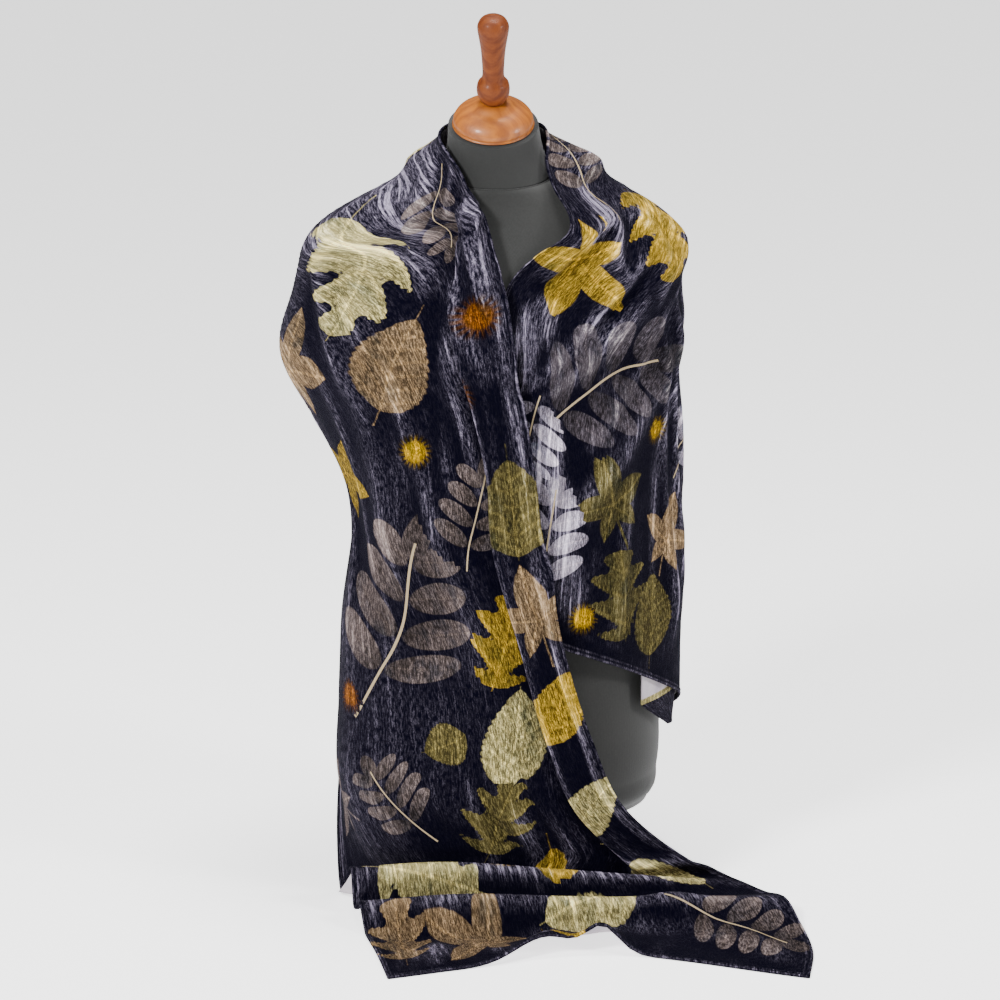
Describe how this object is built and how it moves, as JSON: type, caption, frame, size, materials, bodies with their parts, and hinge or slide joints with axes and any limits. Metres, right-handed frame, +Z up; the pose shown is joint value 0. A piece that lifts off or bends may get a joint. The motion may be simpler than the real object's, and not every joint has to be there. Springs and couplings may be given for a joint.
{
  "type": "velvet scarf on a limbless dress form",
  "caption": "Long patterned velvet scarf worn over the shoulders of a limbless dress form, one end hanging to the floor and lying in folds, the other end short",
  "frame": {"origin": "Centre of the stand base's underside, on the floor", "axes": "+X to the viewer's right of the form, -Y the front that the long end crosses, +Z up"},
  "size_m": [0.5556, 0.4865, 0.9435],
  "materials": {
    "velvet": "crushed velvet, near-black navy with a printed leaf pattern, pale wrong side",
    "torso_jersey": "matt charcoal jersey",
    "neck_jersey": "matt dark charcoal jersey",
    "light_wood": "satin varnish",
    "red_wood": "satin varnish",
    "dark_wood": "matt stain"
  },
  "bodies": {
    "root": {"scarf_long_end": "velvet", "scarf_floor_end": "velvet", "scarf_back": "velvet", "scarf_short_end": "velvet", "form_torso": "torso_jersey", "form_neck": "neck_jersey", "neck_cap": "light_wood", "finial": "red_wood", "stand_pole": "dark_wood", "stand_base": "dark_wood"}
  },
  "joints": []
}
